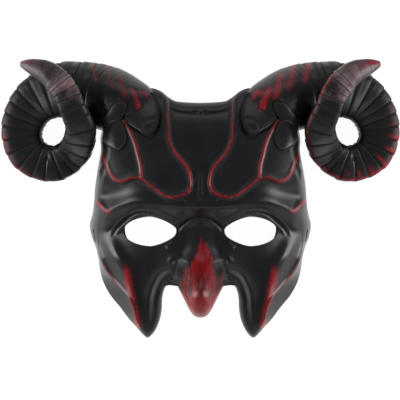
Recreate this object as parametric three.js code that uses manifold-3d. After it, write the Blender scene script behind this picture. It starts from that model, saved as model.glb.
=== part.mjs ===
// A devil half mask with a pair of coiled ram horns, cast in one piece of stiff polyurethane.
// Millimetres. The mask lies on its back: the face looks up along +Z, the crown of the head is towards +Y,
// and +X is the wearer's left. The origin is under the middle of the whole mask, on the surface it lies on.
// Shapes are worked out in a face frame whose y = 0 is the eye line, and moved to the origin at the end.
// Left and right are mirror images, so every size is given for the +X side.
import * as THREE from "three";
import { mergeVertices } from "three/addons/utils/BufferGeometryUtils.js";
import Module from "manifold-3d";

const wall = 3.4; // thickness of the cast shell
const faceToOrigin = -24.7; // from the face frame to the middle of the whole mask, along Y
const slopeStep = 0.3; // step over which the slope of the front is taken

// Steps of the faceted surfaces
const raysRound = 80; // rays from one eye to the outline of its half of the face
const frontRows = 12; // rows from the eye to the line where the front turns into the side
const sideRows = 3; // rows from that line to the cast edge
const hornSides = 12;
const padSides = 22; // corners of a pad's plan

const { abs, max, min, cos, sin, exp, hypot, pow, atan2, PI } = Math;
const clamp01 = (v) => min(1, max(0, v));
const mix = (a, b, t) => a + (b - a) * t;
const hill = (d, width) => exp(-(d * d) / (width * width));

// 0 below a, 1 above b, and a smooth step between
function ramp(a, b, v) {
  const t = clamp01((v - a) / (b - a));
  return t * t * (3 - 2 * t);
}

// A smooth curve through rows of values, read at share t of the row number
function rowAt(rows, t) {
  const last = rows.length - 1;
  const at = min(max(t, 0), 1) * last;
  const i = min(Math.floor(at), last - 1);
  const f = at - i;
  const before = rows[max(i - 1, 0)];
  const after = rows[min(i + 2, last)];
  return rows[i].map((p, c) => {
    const q = rows[i + 1][c];
    const slopeP = (q - before[c]) / 2;
    const slopeQ = (after[c] - p) / 2;
    return (2 * f ** 3 - 3 * f ** 2 + 1) * p + (f ** 3 - 2 * f ** 2 + f) * slopeP
      + (3 * f ** 2 - 2 * f ** 3) * q + (f ** 3 - f ** 2) * slopeQ;
  });
}

// A profile of rows [y, value], read at y. Its rows are about evenly spaced, which keeps the curve smooth.
function profileAt(profile, y) {
  const last = profile.length - 1;
  const at = min(max(y, profile[0][0]), profile[last][0]);
  let i = 0;
  while (i < last - 1 && at > profile[i + 1][0]) i += 1;
  return rowAt(profile, (i + (at - profile[i][0]) / (profile[i + 1][0] - profile[i][0])) / last)[1];
}

// A line through points as many short pieces
const lineThrough = (points, pieces = 40) => Array.from({ length: pieces + 1 }, (_, i) => rowAt(points, i / pieces));

// Distance from a point to such a line
function distanceTo(line, x, y) {
  let least = Infinity;
  for (let i = 1; i < line.length; i += 1) {
    const [ax, ay] = line[i - 1];
    const [dx, dy] = [line[i][0] - ax, line[i][1] - ay];
    const t = clamp01(((x - ax) * dx + (y - ay) * dy) / (dx * dx + dy * dy + 1e-9));
    least = min(least, hypot(x - ax - dx * t, y - ay - dy * t));
  }
  return least;
}

function isInside(line, x, y) {
  let inside = false;
  for (let i = 0, j = line.length - 1; i < line.length; j = i, i += 1) {
    const [[ax, ay], [bx, by]] = [line[i], line[j]];
    if (ay > y !== by > y && x < ((bx - ax) * (y - ay)) / (by - ay) + ax) inside = !inside;
  }
  return inside;
}

// The edge of the half face, from the tip of the nose over the arch beside it, round the cheek, up the side
// and over the top to the middle. Each row: the cast edge x, y, the line where the front turns towards that
// edge x, y, the height of the edge above the table, and 0 for a flat side plane up to 1 for a rounded one.
const edgeRows = [
  [0, -62.3, 0, -57.2, 62, 1], [4.2, -61.2, 3.5, -56.2, 61, 1], [7.8, -57, 5.6, -52.8, 59, 1],
  [11.2, -50.4, 8, -47.6, 55.5, 1], [14.6, -43.8, 10.8, -41.2, 51.5, 1], [17.5, -38.7, 14.2, -34.6, 48, 1],
  [20.8, -36.5, 21, -31.2, 44, 1], [23.9, -38.7, 27, -34.8, 40, 1], [26.4, -43, 30.8, -40.8, 38.5, 1],
  [27.7, -49, 33, -48, 37, 1], [28.1, -57, 33.6, -56.5, 34.5, 1], [29.3, -64, 34.2, -62.4, 31, 1],
  [31.8, -70.6, 35.8, -67.6, 29, 1], [34.9, -75.5, 37.4, -71.6, 27.5, 1], [38.7, -78.3, 39.6, -73.4, 27, 0.9],
  [42.7, -75.2, 42.2, -71.8, 27.5, 0.7], [46.8, -70.4, 45, -68, 28, 0.4], [51.8, -65, 47.2, -63, 28.5, 0.1],
  [58.4, -56.2, 48.8, -55, 27.5, 0], [65.7, -47.5, 54, -46.6, 24, 0], [70.8, -38.7, 61.4, -38.2, 18, 0],
  [73.7, -29.9, 68.8, -29.8, 10.5, 0.1], [75.2, -21.2, 72.8, -20.6, 4, 0.3], [77.4, -12.4, 74, -12, 0.5, 0.5],
  [80.3, -5, 74.6, -4, 0, 0.7], [81.8, 3.7, 74.4, 4, 0, 0.8], [79.8, 11.7, 73, 11.6, 0, 0.9],
  [78.4, 20, 71.4, 20, 0, 1], [77.6, 31.4, 70.4, 31, 0, 1], [75.6, 44.5, 67.6, 44, 2, 1],
  [73.2, 58, 64.5, 57, 6, 1], [73.4, 68, 63, 67, 10, 1], [70.5, 78, 59.5, 75.5, 16, 1],
  [63, 88.5, 53.5, 83, 23, 1], [53.5, 97, 47.4, 89.5, 31, 1],
  [44, 102, 41, 94, 37, 1], [36, 103.6, 34.6, 96, 41, 1], [29.2, 101.5, 28.2, 94.4, 43.5, 1],
  [23.4, 97.1, 22.6, 90.6, 45, 1], [18, 94, 17.4, 87.6, 46, 1], [9, 93, 9, 86.8, 46.5, 1], [0, 92.7, 0, 86.6, 46.5, 1],
];

// Eye hole: an almond, sharper at the nose than at the temple
const eye = { x: 36, y: -0.4, halfWidth: 19.9, halfHeight: 10.6, innerSharpness: 1.45, outerSharpness: 1.9 };

function eyePoint(direction) {
  const [c, s] = [cos(direction), sin(direction)];
  const n = c < 0 ? eye.innerSharpness : eye.outerSharpness;
  const r = pow(pow(abs(c) / eye.halfWidth, n) + pow(abs(s) / eye.halfHeight, n), -1 / n);
  return [eye.x + r * c, eye.y + r * s];
}

// Heights of the front along the midline, without the nose and along its ridge, and half widths of the nose
const faceProfile = [[-80, 36], [-70, 41], [-60, 45], [-50, 48], [-40, 50], [-30, 51.6], [-20, 53], [-10, 54],
  [0, 55.4], [10, 59.6], [20, 65], [30, 67.3], [40, 67.5], [50, 66.8], [60, 65.2], [70, 62.6], [80, 58.6], [90, 52.8],
  [100, 45.4], [110, 37]];
const noseProfile = [[-64, 70], [-58, 78.6], [-52, 84.4], [-46, 87], [-40, 85.6], [-34, 79], [-28, 69.6],
  [-22, 62.2], [-16, 58], [-10, 56.2], [-4, 55.8], [2, 57.2], [8, 60], [14, 63.2], [20, 66.6], [26, 68.4]];
const noseHalfWidth = [[-66, 18], [-56, 19], [-46, 19.5], [-36, 19.5], [-26, 17.5], [-16, 14.5], [-6, 12], [4, 11],
  [14, 12]];

// The plates that run down the forehead from each horn
const plateEdge = lineThrough([[23.8, 101], [23.8, 91.8], [23.4, 78.4], [22.6, 66.7], [19.7, 58.4], [15.4, 52.6],
  [9.6, 46], [7.1, 38.4], [7.1, 31.7], [11.2, 26.7], [18, 24.6], [24.6, 25], [34.6, 31.7], [42, 37.4], [48.9, 38.4],
  [54.8, 35.8], [60.6, 36.7], [64.7, 40.9], [68, 48.4], [70.9, 55], [72.3, 61.8]], 60);
const plateArea = [...plateEdge, [90, 64], [90, 116], [23.8, 116]];
const plateRidge = lineThrough([[42.5, 38.6], [43, 46.7], [44.6, 53.4], [47.2, 63.5], [51.3, 72.6], [55.9, 80.1]]);

const browLine = lineThrough([[0, 17.5], [14, 17.5], [30, 19], [46, 20.5], [58, 17], [68, 11]]);
const browFold = lineThrough([[79, 25], [77.4, 23.4], [72.5, 18.2], [67.2, 13.9], [62, 16.8]]);
const cheekLine = lineThrough([[73, 16], [69.4, 2], [64.4, -11], [59.4, -21], [55, -29.5], [52.6, -38.5],
  [50.4, -47.5], [48, -57.5], [45.4, -68]]);

// Height of the front. The midline falls off towards the temples. On it stand the nose and its wings, the brow,
// the fold at its outer end and the cheekbone; pressed in are the temple, the eye socket and the hollow of the cheek.
function frontHeight(x, y) {
  const across = abs(x);
  const middle = profileAt(faceProfile, y);
  const fall = 29 - 9 * ramp(-42, -18, y) - 9 * ramp(24, 46, y);
  let z = middle - fall * pow(across / 72, 3.2);

  const outward = clamp01(across / profileAt(noseHalfWidth, y));
  const nose = max(0, profileAt(noseProfile, y) - middle) * (1 - ramp(16, 26, y));
  z += nose * pow(1 - outward ** 2, 1 + 0.8 * ramp(-46, -34, y));
  z += 1.3 * hill(hypot((across - 16) / 7, (y + 23.5) / 6), 1);

  z += 4.5 * hill(distanceTo(browLine, across, y), 7) + 2.2 * hill(distanceTo(browFold, across, y), 3);
  z -= 2.4 * hill(hypot((across - 67) / 9, (y - 26) / 6), 1);
  z -= 2.6 * hill(hypot((across - eye.x) / 27, (y - eye.y) / 15), 0.95);
  z += (3.6 - 2.8 * ramp(-20, 2, y)) * hill(distanceTo(cheekLine, across, y), 5.5);
  z -= 3.4 * hill(hypot((across - 36) / 12, (y + 30) / 13), 1);

  const toEdge = distanceTo(plateEdge, across, y);
  z += 2.6 * ramp(-1.8, 1.8, isInside(plateArea, across, y) ? toEdge : -toEdge);
  z += 1.2 * (hill(toEdge, 2.4) + hill(distanceTo(plateRidge, across, y), 2.6));
  return z;
}

// The half face is a ring of quads round the eye. Its outer stations run along the edge rows, then down the
// midline. A station holds its edge row, or only its point on the midline.
const onMiddle = Math.round(raysRound * 0.28);
const onEdge = raysRound - onMiddle;

function makeStations() {
  const fine = lineThrough(edgeRows, 800);
  const lengths = [0];
  for (let i = 1; i < fine.length; i += 1)
    lengths.push(lengths[i - 1] + hypot(fine[i][0] - fine[i - 1][0], fine[i][1] - fine[i - 1][1]));
  const stations = [];
  for (let k = 0; k <= onEdge; k += 1) {
    const at = (lengths.at(-1) * k) / onEdge;
    const [x, y, ridgeX, ridgeY, edgeHeight, round] = fine[lengths.findIndex((l) => l >= at - 1e-9)];
    stations.push({ edge: [x, y], ridge: [ridgeX, ridgeY], edgeHeight, round: clamp01(round) });
  }
  const [tip, top] = [stations[0], stations[onEdge]];
  for (const end of [tip, top]) [end.edge[0], end.ridge[0]] = [0, 0];
  for (let k = 1; k < onMiddle; k += 1)
    stations.push({ ridge: [0, mix(top.ridge[1], tip.ridge[1], k / onMiddle)] });
  return stations;
}
const stations = makeStations();
const isMiddle = (k) => k === 0 || k >= onEdge;

// The plan of the front, row by row from the eye outwards, evened out by averaging each point with its
// neighbours so that no two rays cross
function makePlan() {
  const start = atan2(stations[0].ridge[1] - eye.y, -eye.x);
  const plan = stations.map(({ ridge }, k) => {
    const even = start + (2 * PI * k) / raysRound;
    let direct = atan2(ridge[1] - eye.y, ridge[0] - eye.x);
    while (direct < even - PI) direct += 2 * PI;
    const from = eyePoint(mix(direct, even, 0.35));
    return Array.from({ length: frontRows + 1 }, (_, r) =>
      [mix(from[0], ridge[0], r / frontRows), mix(from[1], ridge[1], r / frontRows)]);
  });
  for (let pass = 0; pass < 40; pass += 1)
    for (let k = 0; k < raysRound; k += 1)
      for (let r = 1; r < frontRows; r += 1) {
        const [a, b] = [plan[(k + 1) % raysRound][r], plan[(k + raysRound - 1) % raysRound][r]];
        const [c, d] = [plan[k][r - 1], plan[k][r + 1]];
        for (const axis of [0, 1]) plan[k][r][axis] = (a[axis] + b[axis] + c[axis] + d[axis]) / 4;
      }
  return plan;
}

// The outside of the half face as columns of points, one column for each station: the front rows, and for
// stations on the edge also the side rows. A side row runs from the turn line to the cast edge as a curve that
// leaves the front at its own slope and bends at a corner above the edge.
function makeOutside() {
  return makePlan().map((column, k) => {
    const points = column.map(([x, y]) => [x, y, frontHeight(x, y)]);
    if (!stations[k].edge) return points;
    const turn = points[frontRows];
    const edge = [...stations[k].edge, stations[k].edgeHeight];
    const reach = hypot(edge[0] - turn[0], edge[1] - turn[1]);
    const ahead = [0, 1].map((axis) => mix(turn[axis], edge[axis], slopeStep / reach));
    const slope = (frontHeight(...ahead) - turn[2]) / slopeStep;
    const corner = [edge[0], edge[1], min(max(turn[2] + slope * reach, edge[2] + 1), turn[2])];
    for (let r = 1; r <= sideRows; r += 1) {
      const u = r / sideRows;
      points.push(turn.map((v, axis) => {
        const bend = mix((v + edge[axis]) / 2, corner[axis], stations[k].round);
        return (1 - u) ** 2 * v + 2 * u * (1 - u) * bend + u ** 2 * edge[axis];
      }));
    }
    return points;
  });
}
const outside = makeOutside();

// The neighbour of a point in the net, along the ring and across it, past the midline as a mirror image
function pointAt(net, k, r) {
  if (r > frontRows) {
    if (k < 0 || k > onEdge) {
      const [x, y, z] = net[k < 0 ? -k : 2 * onEdge - k][r];
      return [-x, y, z];
    }
    return net[k][min(r, frontRows + sideRows)];
  }
  return net[(k + raysRound) % raysRound][max(r, 0)];
}

function normalAt(net, k, r) {
  const lastRow = net[k].length - 1;
  const along = [pointAt(net, k + 1, r), pointAt(net, k - 1, r)];
  const out = [pointAt(net, k, min(r + 1, lastRow)), pointAt(net, k, r - 1)];
  const [a, b] = [along, out].map(([p, q]) => new THREE.Vector3(p[0] - q[0], p[1] - q[1], p[2] - q[2]));
  const normal = b.cross(a).normalize();
  if (normal.z < 0 && r <= frontRows) normal.negate();
  if (isMiddle(k)) normal.x = 0;
  return normal.normalize();
}

// The inside is the outside set in by the wall, and smoothed so that it doesn't follow the carving. The eye
// holes are cut straight down.
function makeInside() {
  const normals = outside.map((column, k) => column.map((_, r) => normalAt(outside, k, r).toArray()));
  const inside = outside.map((column, k) => column.map((p, r) => p.map((v, axis) => v - wall * normals[k][r][axis])));
  inside.forEach((column, k) => {
    const [x, y, z] = outside[k][0];
    column[0] = [x, y, z - 1.2 * wall];
  });
  for (let pass = 0; pass < 3; pass += 1)
    for (let k = 0; k < raysRound; k += 1)
      for (let r = 1; r < inside[k].length - 1; r += 1) {
        const around = [pointAt(inside, k - 1, r), pointAt(inside, k + 1, r), inside[k][r - 1], inside[k][r + 1]];
        for (const axis of [0, 1, 2])
          inside[k][r][axis] = mix(inside[k][r][axis], around.reduce((s, p) => s + p[axis], 0) / 4, 0.5);
      }
  inside.forEach((column, k) => column.forEach((p, r) => {
    p[0] = isMiddle(k) ? 0 : max(p[0], 0.4);
    p[2] = max(p[2], 0);
    if (r === frontRows + sideRows && outside[k][r][2] < 0.05) p[2] = 0;
  }));
  return inside;
}
const inside = makeInside();

const wasm = await Module();
wasm.setup();

function toManifold(geometry) {
  const bare = geometry.clone();
  bare.deleteAttribute("normal");
  bare.deleteAttribute("uv");
  const merged = mergeVertices(bare, 1e-4);
  return new wasm.Manifold(new wasm.Mesh({
    numProp: 3,
    vertProperties: merged.attributes.position.array,
    triVerts: new Uint32Array(merged.index.array),
  }));
}

// A mesh from quads given as four corner points, each quad split along its shorter diagonal
function meshFromQuads(quads) {
  const points = [];
  const gap = (p, q) => hypot(p[0] - q[0], p[1] - q[1], p[2] - q[2]);
  for (const [a, b, c, d] of quads) {
    const halves = gap(a, c) <= gap(b, d) ? [[a, b, c], [a, c, d]] : [[a, b, d], [b, c, d]];
    for (const half of halves)
      if (min(gap(half[0], half[1]), gap(half[1], half[2]), gap(half[2], half[0])) > 1e-3) points.push(...half.flat());
  }
  const geometry = new THREE.BufferGeometry();
  geometry.setAttribute("position", new THREE.Float32BufferAttribute(points, 3));
  geometry.setIndex(Array.from({ length: points.length / 3 }, (_, i) => i));
  return geometry;
}

const mirrored = (quads) => [...quads, ...quads.map((quad) => quad.map(([x, y, z]) => [-x, y, z]).reverse())];

// Quads between the chosen rows of a net, facing outwards
function netQuads(net, rows) {
  const quads = [];
  for (let k = 0; k < raysRound; k += 1)
    for (let i = 1; i < rows.length; i += 1) {
      if (rows[i] > frontRows && k >= onEdge) continue;
      const [p, q] = [net[k], net[(k + 1) % raysRound]];
      quads.push([p[rows[i - 1]], p[rows[i]], q[rows[i]], q[rows[i - 1]]]);
    }
  return quads;
}

const lastRow = frontRows + sideRows;
const allRows = Array.from({ length: lastRow + 1 }, (_, r) => r);
const plainRows = [0, Math.round(frontRows * 0.3), Math.round(frontRows * 0.62), frontRows, lastRow];

function shellSolid() {
  const quads = [...netQuads(outside, allRows), ...netQuads(inside, plainRows).map((quad) => quad.reverse())];
  for (let k = 0; k < raysRound; k += 1) {
    const next = (k + 1) % raysRound;
    quads.push([outside[k][0], outside[next][0], inside[next][0], inside[k][0]]);
    if (k < onEdge) quads.push([outside[next][lastRow], outside[k][lastRow], inside[k][lastRow], inside[next][lastRow]]);
  }
  return toManifold(meshFromQuads(mirrored(quads)));
}

// The hollow behind the face, as a solid that reaches below the table
function hollowSolid() {
  const floor = inside.map((column) => column.map(([x, y]) => [x, y, -40]));
  const quads = [...netQuads(inside, plainRows), ...netQuads(floor, plainRows).map((quad) => quad.reverse())];
  for (let k = 0; k < raysRound; k += 1) {
    const next = (k + 1) % raysRound;
    quads.push([inside[k][0], inside[next][0], floor[next][0], floor[k][0]]);
    if (k < onEdge) quads.push([inside[next][lastRow], inside[k][lastRow], floor[k][lastRow], floor[next][lastRow]]);
  }
  return toManifold(meshFromQuads(mirrored(quads)));
}

// The horn: middle of the section x, y, z, its width, the number of the ring there and how high the rings stand
const hornRows = [
  [38, 84.5, 40, 18, -5.6, 0], [40, 85.4, 41, 28, -5, 0], [46, 88.8, 41, 37, -3.6, 0.1], [58, 92.7, 34, 45, -2.2, 0.15],
  [71, 97.4, 26, 47.4, -0.8, 0.2], [86, 101, 23, 45.4, 0.6, 0.3], [103, 102.6, 20.3, 39.8, 2.3, 0.7],
  [121.4, 93.8, 16.2, 33.6, 4.9, 1], [131, 74.7, 14.1, 29.8, 8, 1], [125.7, 55.9, 14.6, 28, 10.7, 1],
  [107.6, 48.9, 16.6, 26, 13.4, 1], [92.6, 58, 22.8, 23.4, 15.8, 1], [87, 73.6, 47.6, 21.2, 18.4, 1],
  [91.9, 87.9, 58, 19, 20.6, 1], [97.9, 101.7, 59.8, 18.6, 23.2, 0.8], [108.6, 112.8, 58.5, 17.6, 26.2, 0],
  [118.6, 117.5, 56.5, 13.3, 27.6, 0], [126.3, 119.8, 55, 7.6, 28.6, 0], [130, 120.4, 54.2, 3, 29, 0],
];

// A ring rises towards the tip and drops at its end. Share f runs from 0 to 1 along one ring.
const ringRise = (f) => (f < 0.84 ? pow(f / 0.84, 0.8) : (1 - f) / 0.16);

// The radius of the horn's section at an angle: the root is round, and the coil is nearly square with rounded
// corners, (|cos| ** n + |sin| ** n) ** (-1 / n), which gives it a flat front. The rings step up most at its sides.
function hornRadius([, , , width, ring, rise], turn) {
  const [c, s] = [abs(cos(turn)), abs(sin(turn))];
  const n = 2 + 4 * ramp(0, 6, ring) * (1 - 0.85 * ramp(21, 27, ring));
  const step = (ringRise(ring - Math.floor(ring)) - 0.5) * (0.05 + 0.03 * c ** 3) * rise;
  return (width / 2) * (pow(c ** n + s ** n, -1 / n) + step);
}

// A solid along a line of rows, cut into sections at the given rows. Each section lies square to the line. Its
// first direction is level and points away from the coil, and its second points to the front.
function tubeSolid(fine, cuts, sides, radiusAt) {
  const up = new THREE.Vector3(0, 0, 1);
  const sections = cuts.map((i) => {
    const [p, q] = [fine[max(i - 3, 0)], fine[min(i + 3, fine.length - 1)]];
    const along = new THREE.Vector3(q[0] - p[0], q[1] - p[1], q[2] - p[2]).normalize();
    const outward = up.clone().cross(along).normalize();
    const front = outward.clone().cross(along);
    if (front.z < 0) front.negate();
    return Array.from({ length: sides }, (_, j) => {
      const turn = (2 * PI * (j + 0.5)) / sides;
      const r = radiusAt(fine[i], turn);
      return new THREE.Vector3(...fine[i].slice(0, 3)).addScaledVector(outward, r * cos(turn))
        .addScaledVector(front, r * sin(turn)).toArray();
    });
  });
  const quads = [];
  for (let i = 1; i < sections.length; i += 1)
    for (let j = 0; j < sides; j += 1) {
      const next = (j + 1) % sides;
      quads.push([sections[i - 1][j], sections[i - 1][next], sections[i][next], sections[i][j]]);
    }
  const [first, last] = [fine[cuts[0]].slice(0, 3), fine[cuts.at(-1)].slice(0, 3)];
  for (let j = 0; j < sides; j += 1) {
    const next = (j + 1) % sides;
    quads.push([first, sections[0][next], sections[0][j], sections[0][j]]);
    quads.push([last, sections.at(-1)[j], sections.at(-1)[next], sections.at(-1)[next]]);
  }
  const solid = toManifold(meshFromQuads(quads));
  return solid.volume() > 0 ? solid : toManifold(meshFromQuads(quads.map((quad) => quad.reverse())));
}

function hornSolid() {
  const fine = lineThrough(hornRows, 900);
  const rings = [];
  for (let n = -5; n < 1; n += 1) rings.push(n + 0.5);
  for (let n = 1; n <= 24; n += 1) rings.push(n + 0.04, n + 0.84);
  rings.push(25.2, 26, 26.8, 27.6, 28.2, 28.7);
  const cuts = [0, ...rings.map((ring) => fine.findIndex((row) => row[4] >= ring)), fine.length - 1];
  return tubeSolid(fine, cuts, hornSides, hornRadius);
}

// The foot of each horn is a rounded pad with a lobe towards the eye, and two leaves lie beside it. Each has a
// middle, rows of [degrees, reach] of its plan, the height of its top and the height its side goes down to.
const footPads = [
  {
    middle: [44.5, 86.2],
    reaches: [[-20, 12], [20, 13], [60, 13.5], [95, 14.3], [125, 16.8], [150, 15.8], [174, 14.5], [195, 15.3],
      [217, 16.9], [243, 18.8], [259, 15.3], [270, 12.4], [306, 10.6], [340, 12]],
    top: (x, y) => frontHeight(x, y) + 4.4 - 0.005 * max(0, x - 30) ** 2,
    foot: 40,
  },
  {
    middle: [61.7, 81.2],
    reaches: [[-33, 10.9], [9.6, 7.8], [53, 7.4], [88, 11], [105, 13], [126, 14.2], [147, 9.1], [173, 5.3],
      [210, 4.6], [245, 4.6], [278, 5.1], [295, 8.5], [309.5, 12.6], [327, 10.9]],
    top: (x, y) => 60 - 0.016 * ((x - 53) ** 2 + (y - 93) ** 2),
    foot: 18,
  },
  {
    middle: [61.8, 67.9],
    reaches: [[10, 8.8], [52, 10.6], [92, 13.3], [116, 11.9], [142, 9.6], [170, 8.7], [218, 9.4], [250, 10.7],
      [285, 8.6], [325, 8.6], [370, 8.8]],
    top: (x, y) => frontHeight(x, y) + 1.5 - 0.05 * max(0, x - 61) ** 2,
    foot: 28,
  },
];

function padSolid({ middle, reaches, top, foot }) {
  const lastDegrees = reaches.at(-1)[0];
  const rim = Array.from({ length: padSides }, (_, j) => {
    const degrees = (360 * j) / padSides;
    const reach = profileAt(reaches, degrees > lastDegrees ? degrees - 360 : degrees);
    return [reach * cos((degrees * PI) / 180), reach * sin((degrees * PI) / 180)];
  });
  const ring = (share, height) => rim.map(([dx, dy]) => {
    const [x, y] = [middle[0] + share * dx, middle[1] + share * dy];
    return [x, y, height(x, y)];
  });
  const rings = [ring(0, top), ring(0.55, top), ring(1, top), ring(1, () => foot), ring(0, () => foot)];
  const quads = [];
  for (let i = 1; i < rings.length; i += 1)
    for (let j = 0; j < padSides; j += 1) {
      const next = (j + 1) % padSides;
      quads.push([rings[i - 1][j], rings[i][j], rings[i][next], rings[i - 1][next]]);
    }
  return toManifold(meshFromQuads(quads));
}

// The strap slots at the temples, cut square to the side plane
const slot = { x: 75.6, y: -3.6, z: 21, length: 9, width: 3, depth: 16, turn: -0.62 };

function slotSolid(side) {
  const cutter = new THREE.BoxGeometry(slot.width, slot.length, slot.depth);
  cutter.rotateY(-side * slot.turn);
  cutter.translate(side * slot.x, slot.y, slot.z);
  return toManifold(cutter);
}

function maskSolid() {
  const belowTable = new THREE.BoxGeometry(600, 600, 100).translate(0, 0, -50);
  const horn = footPads.reduce((solid, pad) => solid.add(padSolid(pad)), hornSolid());
  const horns = horn.add(horn.mirror([1, 0, 0])).subtract(hollowSolid());
  return shellSolid().add(horns).subtract(slotSolid(1)).subtract(slotSolid(-1)).subtract(toManifold(belowTable));
}

function toGeometry(solid) {
  const { vertProperties, triVerts } = solid.getMesh();
  const geometry = new THREE.BufferGeometry();
  geometry.setAttribute("position", new THREE.Float32BufferAttribute(vertProperties, 3));
  geometry.setIndex(Array.from(triVerts));
  return geometry.translate(0, faceToOrigin, 0);
}

const painted = new THREE.MeshStandardMaterial({ color: "#232325", roughness: 0.45 });
const mask = new THREE.Mesh(toGeometry(maskSolid()), painted);
mask.name = "devil_half_mask";

const group = new THREE.Group();
group.add(mask);
export default group;
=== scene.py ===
import bmesh
import bpy
import numpy as np
from mathutils import Matrix, Vector


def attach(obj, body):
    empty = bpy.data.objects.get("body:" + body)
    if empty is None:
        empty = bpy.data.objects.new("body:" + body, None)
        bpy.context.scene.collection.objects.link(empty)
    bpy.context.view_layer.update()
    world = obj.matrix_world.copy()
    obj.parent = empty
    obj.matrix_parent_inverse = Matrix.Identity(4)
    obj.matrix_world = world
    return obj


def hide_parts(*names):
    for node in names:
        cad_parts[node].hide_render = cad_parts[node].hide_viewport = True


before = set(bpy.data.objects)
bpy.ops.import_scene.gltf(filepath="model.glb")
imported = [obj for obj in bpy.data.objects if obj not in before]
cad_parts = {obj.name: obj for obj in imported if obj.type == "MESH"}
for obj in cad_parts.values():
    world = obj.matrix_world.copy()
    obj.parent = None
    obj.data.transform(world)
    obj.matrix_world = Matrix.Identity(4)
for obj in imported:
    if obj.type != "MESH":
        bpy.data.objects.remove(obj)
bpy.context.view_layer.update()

# The mask
# One casting of stiff polyurethane: a wall of about 3.4 mm for the face, with both horns grown onto it.
# Nothing is fixed to it, and it lies on its back edge and on the backs of the horns. Its shapes are worked
# out in millimetres for the half with x above 0, in a frame whose y = 0 is the eye line.
WALL = 3.4
FACE_TO_ORIGIN = -24.7


def ramp(low, high, value):
    """0 below low, 1 above high, and a smooth S-shaped step between."""
    t = np.clip((value - low) / (high - low), 0.0, 1.0)
    return t * t * (3.0 - 2.0 * t)


def hill(distance, width):
    """A bell of height 1 at distance 0 that has almost gone at twice the width."""
    return np.exp(-((distance / width) ** 2))


def mound(x, y, middle, reach):
    """A bell over an oval: hill at the distance from the middle, counted in reaches along x and along y."""
    return hill(np.hypot((x - middle[0]) / reach[0], (y - middle[1]) / reach[1]), 1.0)


def mix(a, b, t):
    """The point that lies the share t of the way from a to b."""
    return a + (b - a) * t


def read_rows(rows, share):
    """Smooth values between rows of numbers: a cubic through the rows whose slope at each row is half the
    step between its neighbours. share 0 is the first row and share 1 the last."""
    rows = np.asarray(rows, float)
    last = len(rows) - 1
    at = np.clip(share, 0.0, 1.0) * last
    i = np.minimum(at.astype(int), last - 1)
    f = (at - i)[..., None]
    p, q = rows[i], rows[i + 1]
    slope_p = (q - rows[np.maximum(i - 1, 0)]) / 2.0
    slope_q = (rows[np.minimum(i + 2, last)] - p) / 2.0
    return ((2 * f**3 - 3 * f**2 + 1) * p + (f**3 - 2 * f**2 + f) * slope_p
            + (3 * f**2 - 2 * f**3) * q + (f**3 - f**2) * slope_q)


def read_profile(profile, coordinate):
    """The same curve read at a coordinate: each row of the profile is [coordinate, value]."""
    known = np.asarray(profile, float)[:, 0]
    at = np.clip(coordinate, known[0], known[-1])
    i = np.clip(np.searchsorted(known, at, side="left") - 1, 0, len(known) - 2)
    share = (i + (at - known[i]) / (known[i + 1] - known[i])) / (len(known) - 1)
    return read_rows(profile, share)[..., 1]


def line_through(points, pieces=60):
    """A smooth line through points, as short straight pieces."""
    return read_rows(points, np.linspace(0.0, 1.0, pieces + 1))


def along_line(line, x, y):
    """Distance from each point (x, y) to a line of short pieces, and the share of the line's length where
    the nearest point lies: the least of the distances to the single pieces."""
    least = np.full(x.shape, 1e9)
    share = np.zeros(x.shape)
    for i in range(len(line) - 1):
        (ax, ay), (bx, by) = line[i], line[i + 1]
        dx, dy = bx - ax, by - ay
        t = np.clip(((x - ax) * dx + (y - ay) * dy) / (dx * dx + dy * dy + 1e-12), 0.0, 1.0)
        distance = np.hypot(x - ax - t * dx, y - ay - t * dy)
        nearer = distance < least
        least = np.where(nearer, distance, least)
        share = np.where(nearer, (i + t) / (len(line) - 1), share)
    return least, share


def inside_area(corners, x, y):
    """True where a point lies inside a closed outline: an odd number of its sides lie to the right."""
    odd = np.zeros(x.shape, bool)
    for (ax, ay), (bx, by) in zip(corners, np.roll(corners, -1, axis=0)):
        if ay != by:
            crosses = (ay > y) != (by > y)
            odd ^= crosses & (x < (bx - ax) * (y - ay) / (by - ay) + ax)
    return odd


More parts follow.
